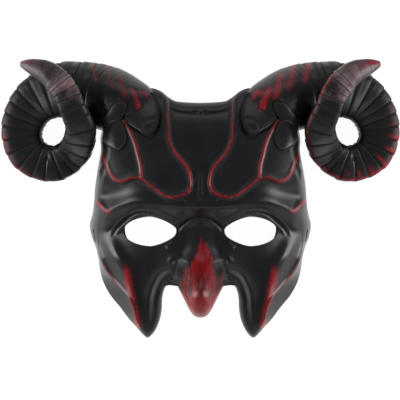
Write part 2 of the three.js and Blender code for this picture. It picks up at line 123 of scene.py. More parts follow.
# Edge of the half face, from the tip of the nose over the arch beside it, round the cheek, up the side and
# over the crown: the cast edge x, y, the line where the front turns towards that edge x, y, the height of
# the edge above the table, and 0 for a flat side plane up to 1 for a rolled edge.
edge_rows = [
    [0, -62.3, 0, -57.2, 62, 1], [4.2, -61.2, 3.5, -56.2, 61, 1], [7.8, -57, 5.6, -52.8, 59, 1],
    [11.2, -50.4, 8, -47.6, 55.5, 1], [14.6, -43.8, 10.8, -41.2, 51.5, 1], [17.5, -38.7, 14.2, -34.6, 48, 1],
    [20.8, -36.5, 21, -31.2, 44, 1], [23.9, -38.7, 27, -34.8, 40, 1], [26.4, -43, 30.8, -40.8, 38.5, 1],
    [27.7, -49, 33, -48, 37, 1], [28.1, -57, 33.6, -56.5, 34.5, 1], [29.3, -64, 34.2, -62.4, 31, 1],
    [31.8, -70.6, 35.8, -67.6, 29, 1], [34.9, -75.5, 37.4, -71.6, 27.5, 1], [38.7, -78.3, 39.6, -73.4, 27, 0.9],
    [42.7, -75.2, 42.2, -71.8, 27.5, 0.7], [46.8, -70.4, 45, -68, 28, 0.4], [51.8, -65, 47.2, -63, 28.5, 0.1],
    [58.4, -56.2, 48.8, -55, 27.5, 0], [65.7, -47.5, 54, -46.6, 24, 0], [70.8, -38.7, 61.4, -38.2, 18, 0],
    [73.7, -29.9, 68.8, -29.8, 10.5, 0.1], [75.2, -21.2, 72.8, -20.6, 4, 0.3], [77.4, -12.4, 74, -12, 0.5, 0.5],
    [80.3, -5, 74.6, -4, 0, 0.7], [81.8, 3.7, 74.4, 4, 0, 0.8], [79.8, 11.7, 73, 11.6, 0, 0.9],
    [78.4, 20, 71.4, 20, 0, 1], [77.6, 31.4, 70.4, 31, 0, 1], [75.6, 44.5, 67.6, 44, 2, 1],
    [73.2, 58, 64.5, 57, 6, 1], [73.4, 68, 63, 67, 10, 1], [70.5, 78, 59.5, 75.5, 16, 1],
    [63, 88.5, 53.5, 83, 23, 1], [53.5, 97, 47.4, 89.5, 31, 1], [44, 102, 41, 94, 37, 1],
    [36, 103.6, 34.6, 96, 41, 1], [29.2, 101.5, 28.2, 94.4, 43.5, 1], [23.4, 97.1, 22.6, 90.6, 45, 1],
    [18, 94, 17.4, 87.6, 46, 1], [9, 93, 9, 86.8, 46.5, 1], [0, 92.7, 0, 86.6, 46.5, 1],
]
EYE = (36.0, -0.4)
EYE_HALF_LENGTH = 19.9
EYE_HALF_HEIGHT = 10.6
EYE_POWER_AT_NOSE = 1.45
EYE_POWER_AT_TEMPLE = 1.9


def eye_edge(direction):
    """The almond eye hole: |x / half length| ** n + |y / half height| ** n = 1. The power n is lower on the
    side of the nose, which makes a sharper corner there."""
    c, s = np.cos(direction), np.sin(direction)
    n = np.where(c < 0, EYE_POWER_AT_NOSE, EYE_POWER_AT_TEMPLE)
    radius = (np.abs(c / EYE_HALF_LENGTH) ** n + np.abs(s / EYE_HALF_HEIGHT) ** n) ** (-1.0 / n)
    return np.stack([EYE[0] + radius * c, EYE[1] + radius * s], axis=-1)


# Rows of [y, height above the table] along the midline: the face with its nose left out, and the ridge of
# the nose; and [y, half width] of the nose. The rows are evenly spaced, which keeps the curves smooth.
face_profile = [
    [-80, 36], [-70, 41], [-60, 45], [-50, 48], [-40, 50], [-30, 51.6], [-20, 53], [-10, 54], [0, 55.4],
    [10, 59.6], [20, 65], [30, 67.3], [40, 67.5], [50, 66.8], [60, 65.2], [70, 62.6], [80, 58.6],
    [90, 52.8], [100, 45.4], [110, 37],
]
nose_profile = [
    [-64, 70], [-58, 78.6], [-52, 84.4], [-46, 87], [-40, 85.6], [-34, 79], [-28, 69.6], [-22, 62.2],
    [-16, 58], [-10, 56.2], [-4, 55.8], [2, 57.2], [8, 60], [14, 63.2], [20, 66.6], [26, 68.4],
]
nose_half_width = [
    [-66, 18], [-56, 19], [-46, 19.5], [-36, 19.5], [-26, 17.5], [-16, 14.5], [-6, 12], [4, 11], [14, 12],
]

# Large lines of the carving: the edge of the plate that runs down from each horn, the ridge on the plate,
# the brow, the fold at the brow's outer end and the cheekbone
plate_edge = line_through([
    [23.8, 101], [23.8, 91.8], [23.4, 78.4], [22.6, 66.7], [19.7, 58.4], [15.4, 52.6], [9.6, 46], [7.1, 38.4],
    [7.1, 31.7], [11.2, 26.7], [18, 24.6], [24.6, 25], [34.6, 31.7], [42, 37.4], [48.9, 38.4], [54.8, 35.8],
    [60.6, 36.7], [64.7, 40.9], [68, 48.4], [70.9, 55], [72.3, 61.8]], 90)
plate_area = np.vstack([plate_edge, [[90, 64], [90, 116], [23.8, 116]]])
plate_ridge = line_through([
    [42.5, 38.6], [43, 46.7], [44.6, 53.4], [47.2, 63.5], [51.3, 72.6], [55.9, 80.1]], 30)
PLATE_STEP = 2.6
brow_line = line_through([[0, 17.5], [14, 17.5], [30, 19], [46, 20.5], [58, 17], [68, 11]], 30)
BROW_HEIGHT = 4.5
brow_fold = line_through([
    [79, 25], [77.4, 23.4], [72.5, 18.2], [67.2, 13.9], [62, 16.8], [56.2, 19], [48, 20.5]], 40)
BROW_FOLD_HEIGHT = 2.2
cheek_line = line_through([
    [73, 16], [69.4, 2], [64.4, -11], [59.4, -21], [55, -29.5], [52.6, -38.5], [50.4, -47.5], [48, -57.5],
    [45.4, -68]], 40)
# Oval mounds and, below 0, hollows: their middle, their reach across and along, and their height
mounds = [
    ((16.0, -23.5), (7.0, 6.0), 1.3),  # the wing of the nose
    ((67.0, 26.0), (9.0, 6.0), -2.4),  # the temple
    (EYE, (25.65, 14.25), -2.6),  # the eye socket
    ((36.0, -30.0), (12.0, 13.0), -3.4),  # the hollow of the cheek
]


def front_height(x, y):
    """Height of the face without its fine carving. The midline profile falls off towards the temples with
    the power 3.2 of the distance, by 29 mm at the mouth and less above it. On it stands the nose, which is
    1 - outward ** 2 across its tip, and that to the power 1.8 across its bridge. The mounds and hollows are
    added, the brow, the fold at its outer end and the cheekbone as bells across their lines, and the plates
    as steps."""
    across = np.abs(x)
    middle = read_profile(face_profile, y)
    fall = 29.0 - 9.0 * ramp(-42.0, -18.0, y) - 9.0 * ramp(24.0, 46.0, y)
    z = middle - fall * (across / 72.0) ** 3.2

    outward = np.clip(across / read_profile(nose_half_width, y), 0.0, 1.0)
    nose = np.maximum(0.0, read_profile(nose_profile, y) - middle)
    bridge = ramp(-46.0, -34.0, y)
    z = z + nose * (1.0 - outward**2) ** (1.0 + 0.8 * bridge) * (1.0 - ramp(16.0, 26.0, y))
    for centre, reach, height in mounds:
        z = z + height * mound(across, y, centre, reach)

    z = z + BROW_HEIGHT * hill(along_line(brow_line, across, y)[0], 7.0)
    distance, share = along_line(brow_fold, across, y)
    z = z + BROW_FOLD_HEIGHT * hill(distance, 3.0) * (1.0 - ramp(0.45, 1.0, share))
    cheekbone = 3.6 - 2.8 * ramp(-20.0, 2.0, y)
    z = z + cheekbone * hill(along_line(cheek_line, across, y)[0], 5.5)

    to_edge = along_line(plate_edge, across, y)[0]
    signed = np.where(inside_area(plate_area, across, y), to_edge, -to_edge)
    return z + PLATE_STEP * ramp(-1.8, 1.8, signed)


# The lip of the flat side plane at the cheek, and the rim and the groove inside the arch beside the nose
flange_ridge = line_through([
    [75.2, -7], [74.4, -12], [71.6, -22], [66.6, -31.2], [59.9, -39.8], [53, -47.6], [49.2, -54],
    [47.5, -61]], 40)
arch_rim = line_through([
    [12, -38.4], [15, -34], [21, -30.6], [27.2, -34], [31, -40.6], [33.4, -48.4], [34, -56.6], [35, -64],
    [37, -70]], 40)
arch_groove = line_through([
    [22, -27.6], [29, -31.6], [33.8, -39.4], [36.4, -48], [37, -56.4], [37.8, -63], [39.2, -68]], 40)

# Creases and small ridges of the face: a line, its height, which is below 0 where it is cut, and its width
creases = [
    # Three folds over the eye, and the short one under its inner corner
    (line_through([[68.5, -8], [63.4, 0.5], [57.5, 8.1], [50.7, 13.4], [44.7, 15.7], [34.1, 15], [22, 10.4],
                   [16.1, 6.6]]), 1.1, 1.3),
    (line_through([[64.5, -4], [60.4, 1.8], [55.6, 6.4], [49.5, 11.2], [43, 13.4], [34, 13.2],
                   [23, 9]]), -0.9, 0.9),
    (line_through([[62, -4], [58, 1.5], [53.7, 5.4], [46.9, 10.6], [40, 12.2], [31, 11.8],
                   [20.5, 7]]), 0.9, 1.0),
    (line_through([[18.6, -6.5], [20.2, -9], [22.6, -11.4], [25, -13]], 20), 0.6, 1.8),
    # Three folds across the bridge of the nose
    (line_through([[18.5, 0.6], [15.5, 4.4], [11.5, 8], [6.2, 10.6], [0, 11.4]], 30), 0.6, 1.0),
    (line_through([[17.4, -1], [14.6, 2.6], [10.8, 5.8], [6, 8.2], [0, 9]], 30), -0.6, 0.8),
    (line_through([[16, -3], [13, 0.6], [9.6, 3.6], [5.4, 5.8], [0, 6.6]], 30), 0.5, 0.9),
    # The frown between the brows
    (line_through([[4.4, 50], [3.8, 41], [3.2, 32], [3.4, 24], [4.4, 17]], 30), 0.35, 1.8),
    (line_through([[0, 47], [0, 38], [0, 30], [0.01, 20]], 30), -0.3, 1.5),
    (line_through([[6.5, 29], [8.6, 24.5], [12, 21]], 20), 0.6, 3.0),
    # The curl of the nostril, and the cut between the wing and the ridge of the nose
    (line_through([[21.6, -24], [21.6, -21], [19.8, -18.4], [17, -17.6], [14.6, -19],
                   [13.4, -21.4]], 30), 0.3, 1.8),
    (line_through([[20.8, -24], [20, -21.8], [17.6, -21], [15.2, -21.9]], 20), -0.4, 1.2),
    (line_through([[10.6, -21], [11.6, -24.6], [13.4, -27.4], [15.4, -29.4]], 20), -0.6, 2.2),
    # The cut round the foot of the horn, and the ripple along the crown
    (line_through([[57, 83], [52.4, 77.2], [46, 73], [42, 70.4], [36, 69], [30.6, 75.6], [29.6, 86.4],
                   [33.6, 101.4]]), -1.2, 1.3),
    (line_through([[22, 91.4], [17, 88.4], [9, 87], [0, 86.8]]), 0.6, 0.7),
    (line_through([[22.6, 88.6], [17.2, 86.2], [9, 85.2], [0, 84.9]]), -1.1, 0.8),
    (flange_ridge, 1.0, 1.1),
    (arch_rim, 0.5, 1.4),
    (arch_groove, -0.4, 1.3),
]
beads = [(plate_edge, 1.3, 1.15), (plate_ridge, 0.8, 1.0)]
# How far from a bead's line the line of painted shade beside it lies
BEAD_TO_SHADE_LINE = 2.3


def fine_carving(x, y):
    """Relief that stands on the front: each crease is a bell across its line, tapered at the ends of the
    line that don't meet the midline, and the edges of the plates carry an even bead. Returns the height, and
    how much painted shade lies there, from 0 to 1, which darkens the lacquer and takes its gloss off: all of
    it in a cut line, and some in a line beside a bead."""
    across = np.abs(x)
    z, dirt = np.zeros(x.shape), np.zeros(x.shape)
    for line, height, width in creases:
        distance, share = along_line(line, across, y)
        free_end = 0.0 if line[-1][0] == 0 else 1.0
        taper = ramp(0.0, 0.25, share) * (1.0 - free_end * ramp(0.75, 1.0, share))
        stroke = hill(distance, width) * taper
        z = z + height * stroke
        # A cut line is painted darker, as painted shade, by its depth up to 1
        dirt = np.maximum(dirt, stroke * min(1.0, max(0.0, -height)))
    for line, height, width in beads:
        distance = along_line(line, across, y)[0]
        z = z + height * hill(distance, width)
        # A line of painted shade on both sides of each bead, where the surface has no groove
        dirt = np.maximum(dirt, 0.7 * hill(distance - BEAD_TO_SHADE_LINE, 0.9))
    return z, dirt


# Steps of the face: stations round the eye, those of them that lie on the midline, and rows from the eye
# hole to the turn at the side and from there to the cast edge
STATIONS = 380
ON_MIDDLE = 106
ON_EDGE = STATIONS - ON_MIDDLE
FRONT_ROWS = 66
SIDE_ROWS = 12
EDGE_PIECES = 4000
EVENNESS_AT_EYE = 0.35
EVENING_PASSES = 818
SMOOTHING_PASSES = 70
SLOPE_STEP = 0.3


def face_net():
    """The outside of the half face as a ring of quads round the eye. The stations of the ring run evenly
    along the edge rows, then down the midline. Row 0 lies on the eye hole, the last front row on the line
    where the front turns to the side, and the last side row on the cast edge. Between these two the rows
    follow a quadratic curve. The plan of the front starts as straight rays from the eye and is then evened
    out by averaging each point with its four neighbours. Returns x, y, z as net[station, row]; on the
    midline the side rows only repeat the last front row."""
    fine = line_through(edge_rows, EDGE_PIECES)
    length = np.concatenate([[0.0], np.cumsum(np.hypot(*np.diff(fine[:, :2], axis=0).T))])
    even = np.linspace(0.0, length[-1], ON_EDGE + 1)
    stations = np.stack([np.interp(even, length, column) for column in fine.T], axis=1)
    stations[[0, -1], 0] = 0.0
    stations[[0, -1], 2] = 0.0
    down_middle = np.linspace(stations[-1, 3], stations[0, 3], ON_MIDDLE + 1)[1:-1]
    ridge = np.vstack([stations[:, 2:4], np.stack([0.0 * down_middle, down_middle], axis=1)])

    start = np.arctan2(ridge[0, 1] - EYE[1], -EYE[0])
    steady = start + 2.0 * np.pi * np.arange(STATIONS) / STATIONS
    direct = np.arctan2(ridge[:, 1] - EYE[1], ridge[:, 0] - EYE[0])
    direct = direct + 2.0 * np.pi * (direct < steady - np.pi)
    rim = eye_edge(mix(direct, steady, EVENNESS_AT_EYE))
    share = np.linspace(0.0, 1.0, FRONT_ROWS + 1)[None, :, None]
    plan = mix(rim[:, None, :], ridge[:, None, :], share)
    for _ in range(EVENING_PASSES):
        around = np.roll(plan, 1, axis=0) + np.roll(plan, -1, axis=0)
        plan[:, 1:-1] = (around[:, 1:-1] + plan[:, :-2] + plan[:, 2:]) / 4.0

    x, y = plan[..., 0], plan[..., 1]
    net = np.zeros((STATIONS, FRONT_ROWS + SIDE_ROWS + 1, 3))
    net[:, : FRONT_ROWS + 1] = np.stack([x, y, front_height(x, y)], axis=-1)
    turn = net[: ON_EDGE + 1, FRONT_ROWS]
    edge = stations[:, [0, 1, 4]]
    reach = np.hypot(*(edge - turn)[:, :2].T)
    ahead = turn[:, :2] + SLOPE_STEP * (edge - turn)[:, :2] / np.maximum(reach, 1e-6)[:, None]
    slope = (front_height(*ahead.T) - front_height(*turn[:, :2].T)) / SLOPE_STEP
    corner = edge.copy()
    corner[:, 2] = np.clip(turn[:, 2] + slope * reach, edge[:, 2] + 1.0, turn[:, 2])
    corner = mix((turn + edge) / 2.0, corner, np.clip(stations[:, 5:6], 0.0, 1.0))
    u = np.linspace(0.0, 1.0, SIDE_ROWS + 1)[1:, None]
    curve = (1.0 - u) ** 2 * turn[:, None] + 2.0 * u * (1.0 - u) * corner[:, None] + u**2 * edge[:, None]
    net[: ON_EDGE + 1, FRONT_ROWS + 1:] = curve
    net[ON_EDGE + 1:, FRONT_ROWS + 1:] = net[ON_EDGE + 1:, FRONT_ROWS, None, :]
    return net


def point_numbers(net):
    """Numbers of the net's points, and of their mirror images: one net further on, but a point of the
    midline is its own image."""
    number = np.arange(net[..., 0].size).reshape(net.shape[:2])
    return number, np.where(np.abs(net[..., 0]) < 1e-9, number, number + number.size)


def face_quads(net, rows):
    """Corner numbers of the quads between the given rows, for the half face and, turned over, for its mirror
    image."""
    number, twin = point_numbers(net)
    front_rows = rows[rows <= FRONT_ROWS]
    side_rows = rows[rows >= FRONT_ROWS]
    halves = []
    for half, flip in ((number, False), (twin, True)):
        following = np.roll(half, -1, axis=0)
        for chosen, stations in ((front_rows, slice(None)), (side_rows, slice(0, ON_EDGE))):
            inner, outer = chosen[:-1], chosen[1:]
            here, there = half[stations], following[stations]
            quads = np.stack([here[:, inner], here[:, outer], there[:, outer], there[:, inner]], axis=-1)
            halves.append(quads.reshape(-1, 4)[:, :: -1 if flip else 1])
    return np.vstack(halves)


def both_halves(net):
    """Points of the half face followed by their mirror images."""
    half = net.reshape(-1, 3)
    return np.vstack([half, half * [-1.0, 1.0, 1.0]])


def vertex_normals(points, quads):
    """Mean of the directions of the quads round each point, each weighted by its area: the cross product of
    a quad's diagonals."""
    a, b, c, d = (points[quads[:, i]] for i in range(4))
    cross = np.cross(c - a, d - b)
    total = np.stack([sum(np.bincount(quads[:, i], cross[:, axis], len(points)) for i in range(4))
                      for axis in range(3)], axis=-1)
    return total / np.maximum(np.linalg.norm(total, axis=1, keepdims=True), 1e-12)


def smoothed(points, quads, held, passes):
    """Points moved to the mean of the points that share a quad's side with them, again and again. Points
    marked as held stay."""
    points = points.copy()
    ends = np.vstack([quads[:, [0, 1]], quads[:, [1, 2]], quads[:, [2, 3]], quads[:, [3, 0]]])
    ends = np.vstack([ends, ends[:, ::-1]])
    count = np.maximum(np.bincount(ends[:, 0], minlength=len(points)), 1)
    for _ in range(passes):
        for axis in range(3):
            mean = np.bincount(ends[:, 0], points[ends[:, 1], axis], len(points)) / count
            points[:, axis] = np.where(held, points[:, axis], mean)
    return points


def new_mesh(name, points, faces, **paint):
    """A mesh object in metres from points in millimetres of the face frame. Points that no face uses are
    left out, doubles are welded, quads are split along the diagonal that follows the shape, and faces are
    turned outwards. Each paint value, a number or a vector for every point, becomes an attribute."""
    used, faces = np.unique(faces, return_inverse=True)
    faces = faces.reshape(-1, 4)
    mesh = bpy.data.meshes.new(name)
    metres = (points[used] + [0.0, FACE_TO_ORIGIN, 0.0]) / 1000.0
    mesh.from_pydata(metres.tolist(), [], [list(dict.fromkeys(face)) for face in faces.tolist()])
    for key, values in paint.items():
        kind, field = ("FLOAT", "value") if values.ndim == 1 else ("FLOAT_VECTOR", "vector")
        attribute = mesh.attributes.new(key, kind, "POINT")
        attribute.data.foreach_set(field, values[used].astype(np.float32).ravel())
    edit = bmesh.new()
    edit.from_mesh(mesh)
    bmesh.ops.remove_doubles(edit, verts=edit.verts, dist=2e-6)
    bmesh.ops.triangulate(edit, faces=edit.faces, quad_method="BEAUTY")
    bmesh.ops.recalc_face_normals(edit, faces=edit.faces)
    edit.to_mesh(mesh)
    edit.free()
    piece = bpy.data.objects.new(name, mesh)
    bpy.context.scene.collection.objects.link(piece)
    return piece


# Where red is rubbed on along lines: the line, the width of the stroke, and how thick it is along the line
cheek_streak = line_through([
    [53.8, -24], [53.4, -30], [52, -38], [50.6, -45], [48.6, -53], [46.8, -60], [45.4, -69]], 40)
temple_fold = line_through([[81, 31], [78.6, 25], [72.5, 18.2], [67.2, 13.9], [62, 16.8], [57, 19]], 40)
red_strokes = [
    (plate_edge, 2.15, [0.55, 0.7, 0.85, 0.92, 0.95, 0.92, 0.88, 0.9, 0.8, 0.92, 0.95, 0.85, 0.5]),
    (plate_ridge, 2.3, [0.95, 0.95, 0.95, 0.9, 0.85]),
    (temple_fold, 2.8, [0.8, 0.95, 0.9, 0.9, 0.6, 0.0]),
    (cheek_streak, 4.8, [0.5, 1.0, 1.05, 0.95, 0.85, 0.8, 0.95]),
    (flange_ridge, 1.6, [0.0, 0.6, 0.8, 0.8, 0.6, 0.8]),
]
# The red on the nose: rows of [y, half of its width], and of [y, x of its middle]
nose_red_half = [
    [-64, 22], [-44, 20], [-36, 18.5], [-30, 17], [-24, 11], [-16, 7], [-9, 4.6], [-4, 2.4], [1, 0.6],
]
nose_red_middle = [[-64, 0], [-36, 0.6], [-22, 1.8], [-6, 2]]
BARE_GAP = (12.5, -27.0)
# Bristle marks of the nose: how many times as long as wide, and where in the noise they lie
BRISTLE_STROKE = 7.0
BRISTLE_PLACE = (9.2, 5.1)


def face_paint(points):
    """Red rubbed on the face. Strokes follow lines, each a bell across its line. On the nose the red starts
    as a point below the eyes and widens to the whole tip, with a bare gap beside the wing on the wearer's
    left, and is put on in long strokes. The even red fades out low on the sides. Returns the even red, the
    streaky red and the coordinates of the bristle marks."""
    x, y = points[:, 0], points[:, 1]
    across = np.abs(x)
    red = np.zeros(len(points))
    for line, width, amounts in red_strokes:
        distance, share = along_line(line, across, y)
        amount = np.interp(share, np.linspace(0.0, 1.0, len(amounts)), amounts)
        red = np.maximum(red, amount * hill(distance, width))
    red = np.maximum(red, 0.9 * (1.0 - ramp(-50.0, -32.0, y)) * (across < 16.0))
    red = red * ramp(24.0, 34.0, points[:, 2] + 0.25 * (y < 0.0) * across)

    half = np.maximum(read_profile(nose_red_half, y), 0.1)
    outward = np.abs(x - read_profile(nose_red_middle, y)) / half
    nose = (1.0 - ramp(0.5, 1.25, outward)) * (1.0 - 0.8 * ramp(-12.0, 0.0, y)) * (across < 22.0)
    nose = nose * (0.84 + 0.2 * hill(y + 22.0, 10.0)) * (1.0 - 0.75 * mound(x, y, BARE_GAP, (2.6, 8.0)))
    brush = np.stack([x + BRISTLE_PLACE[0], y / BRISTLE_STROKE, 0.0 * x + BRISTLE_PLACE[1]], axis=-1)
    return {"red": red, "streak": nose, "brush": brush}


# Dull oval patches of the face, where the lacquer is painted darker too: middle, reach across and along, and
# amount. On the flank of the nose this is painted shade; on the temple the gloss is rubbed off
dull_and_shaded_patches = [
    ((14.0, -30.0), (5.0, 8.0), 1.1),  # the flank of the nose
    ((64.0, 22.0), (14.0, 14.0), 0.3),  # the temple
]


def dull_and_shaded_face(points):
    """How dull, and so how much darker, the face is outside its cut lines: the dull patches, of which the one
    on the flank of the nose is painted shade, and a bell along the rim of the arch.
    """
    across, y = np.abs(points[:, 0]), points[:, 1]
    dull_and_shaded = 0.55 * hill(along_line(arch_rim, across, y)[0], 5.0)
    for middle, reach, amount in dull_and_shaded_patches:
        dull_and_shaded = np.maximum(dull_and_shaded, amount * mound(across, y, middle, reach))
    return dull_and_shaded


# The inside of the face's wall follows the outside without its carving, evened out. At the eye holes the
# wall ends straight, and along the temples it stands flat on the table
outside = face_net()
number, twin = point_numbers(outside)
all_rows = np.arange(FRONT_ROWS + SIDE_ROWS + 1)
every_quad = face_quads(outside, all_rows)
plain = both_halves(outside)
row_of = np.tile(np.tile(all_rows, STATIONS), 2)
at_eye, at_edge = row_of == 0, row_of == all_rows[-1]
plain = smoothed(plain, every_quad, at_eye | at_edge, SMOOTHING_PASSES)
inner = plain - WALL * vertex_normals(plain, every_quad)
inner[np.abs(plain[:, 0]) < 1e-9, 0] = 0.0
straight_through = plain - [0.0, 0.0, 1.2 * WALL]
inner = np.where(at_eye[:, None], straight_through, inner)
inner[:, 2] = np.maximum(inner[:, 2], 0.0)
inner[at_edge & (plain[:, 2] < 0.05), 2] = 0.0

# The outside carries the carving, which fades out over the side rows
carved = outside.copy()
front = carved[:, : FRONT_ROWS + 1]
lift, dirt = fine_carving(front[..., 0], front[..., 1])
front[..., 2] += lift
fade = 1.0 - np.linspace(0.0, 1.0, SIDE_ROWS + 1)[1:]
carved[:, FRONT_ROWS + 1:, 2] += lift[:, -1:] * fade
outer = both_halves(carved)
dirt = np.pad(dirt, ((0, 0), (0, SIDE_ROWS))).ravel()

# The wall is closed by rims at the eye holes and the cast edge. Its inside has fewer rows and no paint
few_rows = np.array([0, 8, 22, 38, 56, FRONT_ROWS, FRONT_ROWS + SIDE_ROWS])
inner_quads = face_quads(outside, few_rows)
count = len(outer)
rims = []
for half in (number, twin):
    for row, stations in ((0, np.arange(STATIONS)), (all_rows[-1], np.arange(ON_EDGE))):
        here, there = half[stations, row], half[(stations + 1) % STATIONS, row]
        rims.append(np.stack([here, there, there + count, here + count], axis=-1))
paint = face_paint(outer) | {"dirt": np.maximum(np.concatenate([dirt, dirt]), dull_and_shaded_face(outer))}
paint["pale"] = np.zeros(count)
paint = {key: np.concatenate([values, np.zeros_like(values)]) for key, values in paint.items()}
mask = new_mesh("devil_mask", np.vstack([outer, inner]),
                np.vstack([every_quad, inner_quads[:, ::-1] + count, *rims]), **paint)

# The hollow behind the face, as a solid that reaches below the table: it trims the roots of the horns
HOLLOW_DEPTH = 40.0
below = inner * [1.0, 1.0, 0.0] - [0.0, 0.0, HOLLOW_DEPTH]
skirts = [np.stack([rim[:, 0], rim[:, 1], rim[:, 1] + count, rim[:, 0] + count], axis=-1) for rim in rims]
hollow = new_mesh("hollow", np.vstack([inner, below]),
                  np.vstack([inner_quads, inner_quads[:, ::-1] + count, *skirts]))

# The horn, from its root inside the face to the tip: middle of the section x, y, z, its width, the number of
# the ring there and how high the rings stand. The root ends at ring 0, and the tip is smooth from ring 26 on
horn_rows = [
    [38, 84.5, 40, 18, -5.6, 0], [40, 85.4, 41, 28, -5, 0], [46, 88.8, 41, 37, -3.6, 0.1],
    [58, 92.7, 34, 45, -2.2, 0.15], [71, 97.4, 26, 47.4, -0.8, 0.2], [86, 101, 23, 45.4, 0.6, 0.3],
    [103, 102.6, 20.3, 39.8, 2.3, 0.7], [121.4, 93.8, 16.2, 33.6, 4.9, 1], [131, 74.7, 14.1, 29.8, 8, 1],
    [125.7, 55.9, 14.6, 28, 10.7, 1], [107.6, 48.9, 16.6, 26, 13.4, 1], [92.6, 58, 22.8, 23.4, 15.8, 1],
    [87, 73.6, 47.6, 21.2, 18.4, 1], [91.9, 87.9, 58, 19, 20.6, 1], [97.9, 101.7, 59.8, 18.6, 23.2, 0.8],
    [108.6, 112.8, 58.5, 17.6, 26.2, 0], [118.6, 117.5, 56.5, 13.3, 27.6, 0], [126.3, 119.8, 55, 7.6, 28.6, 0],
    [130, 120.4, 54.2, 3, 29, 0],
]
# Sections of the horn: their sides, where they lie in each ring, and the pieces of the line they lie on
HORN_SIDES = 50
RING_STEPS = np.array([0.02, 0.08, 0.26, 0.46, 0.54, 0.82, 0.9, 0.96])
HORN_PIECES = 6000
# Where in a ring its end drops, the angle of the keel in radians, and the rings of the tip's bands
RING_DROP = 0.84
KEEL_ANGLE = 0.75
TIP_BANDS = (24.1, 24.9)
TIP_BAND_GROOVE = 24.5


def ring_rise(ring):
    """Height of a ring's surface from 0 to 1: it rises towards the tip along most of the ring, with the
    power 0.8, and drops back over the last sixth."""
    f = ring - np.floor(ring)
    return np.where(f < RING_DROP, (f / RING_DROP) ** 0.8, (1.0 - f) / (1.0 - RING_DROP))


def off_angle(a, b):
    """Signed angle from b to a, between half a turn back and half a turn on."""
    return np.arctan2(np.sin(a - b), np.cos(a - b))


def ring_groove(ring):
    """A narrow valley of depth 1 where one ring ends and the next begins."""
    return hill((ring - np.round(ring) + 0.03) / 0.06, 1.0)


def root_ribs(ring):
    """Shallow valleys of depth 1 across the root, at each whole and half ring."""
    return hill((2.0 * ring - np.round(2.0 * ring)) / 0.12, 1.0) * hill(ring - 0.8, 2.0)


def horn_radius(spine, turn):
    """Radius of the horn's section at an angle: the root is round, and the coil is nearly square with
    rounded corners, (|cos| ** n + |sin| ** n) ** (-1 / n), which gives it a flat front. The corner of the
    front that lies outwards is a keel. The rings rise on the coil most at its sides, with a groove between
    them. The root has shallow ribs, and the tip two raised bands with a groove between them."""
    ring, rise = spine[:, 4:5], spine[:, 5:6]
    n = 2.0 + 4.0 * ramp(0.0, 6.0, ring) * (1.0 - 0.85 * ramp(21.0, 27.0, ring))
    section = (np.abs(np.cos(turn)) ** n + np.abs(np.sin(turn)) ** n) ** (-1.0 / n)
    section = section + 0.02 * rise * hill(off_angle(turn, KEEL_ANGLE), 0.12)
    steps = (ring_rise(ring) - 0.5) * (0.012 + 0.043 * np.abs(np.cos(turn)) ** 3) - 0.032 * ring_groove(ring)
    bands = 0.07 * sum(hill(ring - band, 0.22) for band in TIP_BANDS)
    bands = bands - 0.04 * hill(ring - TIP_BAND_GROOVE, 0.12)
    return spine[:, 3:4] / 2.0 * (section + rise * steps + bands - 0.016 * root_ribs(ring))


def tube(rows, rings, sides, radius_at):
    """Points and faces of a solid along a line of rows, in sections at the given values of the row's fifth
    number. Each section lies square to the line. Its first direction is level and points away from the coil,
    and its second points towards the viewer. Returns points, faces, the row values and the angles."""
    fine = line_through(rows, HORN_PIECES)
    order = np.maximum.accumulate(fine[:, 4] + np.arange(len(fine)) * 1e-7)
    spine = np.stack([np.interp(rings, order, column) for column in fine.T], axis=1)
    along = np.gradient(spine[:, :3], axis=0)
    along /= np.linalg.norm(along, axis=1, keepdims=True)
    outward = -np.cross(along, [0.0, 0.0, 1.0])
    outward /= np.linalg.norm(outward, axis=1, keepdims=True)
    facing = np.cross(outward, along)
    facing *= np.sign(facing[:, 2:])
    angle = 2.0 * np.pi * np.arange(sides) / sides
    radius = radius_at(spine, angle[None, :])
    sections = (spine[:, None, :3] + outward[:, None, :] * (radius * np.cos(angle))[..., None]
                + facing[:, None, :] * (radius * np.sin(angle))[..., None])
    points = np.vstack([sections.reshape(-1, 3), spine[[0, -1], :3]])
    grid = np.arange(len(spine) * sides).reshape(-1, sides)
    turned = np.roll(grid, -1, axis=1)
    quads = np.stack([grid[:-1], turned[:-1], turned[1:], grid[1:]], axis=-1).reshape(-1, 4)
    first, last = np.full(sides, len(points) - 2), np.full(sides, len(points) - 1)
    caps = np.vstack([np.stack([first, turned[0], grid[0], grid[0]], axis=-1),
                      np.stack([last, grid[-1], turned[-1], turned[-1]], axis=-1)])
    values = np.vstack([np.repeat(spine, sides, axis=0), spine[[0, -1]]])
    return points, np.vstack([quads, caps]), values, np.concatenate([np.tile(angle, len(spine)), [0.0, 0.0]])


# Rows of [ring, amount] of red on the keel, the raised ring ends and the tip, and of pale dust on the tip.
# The wearer's left horn has the key 1, and their right horn, which has x below 0, the key -1
keel_red = {
    1: [[2, 0], [4, 0.5], [8, 0.7], [12, 1.0], [17, 1.0], [21, 0.8], [23, 1.0], [26, 0.6], [29, 0.9]],
    -1: [[2, 0], [5, 0.4], [8, 0.75], [13, 0.7], [15, 0.1], [19, 0.1], [21, 0.4], [25, 0.4], [29, 0.8]],
}
ring_red = {
    1: [[2, 0], [5, 0.2], [8, 0.8], [10, 1.0], [13, 0.9], [15, 0.3], [29, 0]],
    -1: [[2, 0], [5, 0.25], [8, 0.6], [10, 0.6], [13, 0.5], [15, 0.1], [20, 0.1], [21, 0.6], [23, 0.6],
         [26, 0]],
}
tip_red = {
    1: [[22, 0], [25, 0.3], [27, 0.6], [29, 1.0]],
    -1: [[22, 0], [24, 0.2], [27, 0.3], [29, 0.7]],
}
tip_pale = {
    1: [[21, 0], [22.5, 0.7], [24, 1], [25.5, 0.5], [27, 0.55], [29, 0.5]],
    -1: [[21, 0], [22.5, 0.6], [24, 0.9], [25.5, 0.3], [27, 0.25], [29, 0.5]],
}
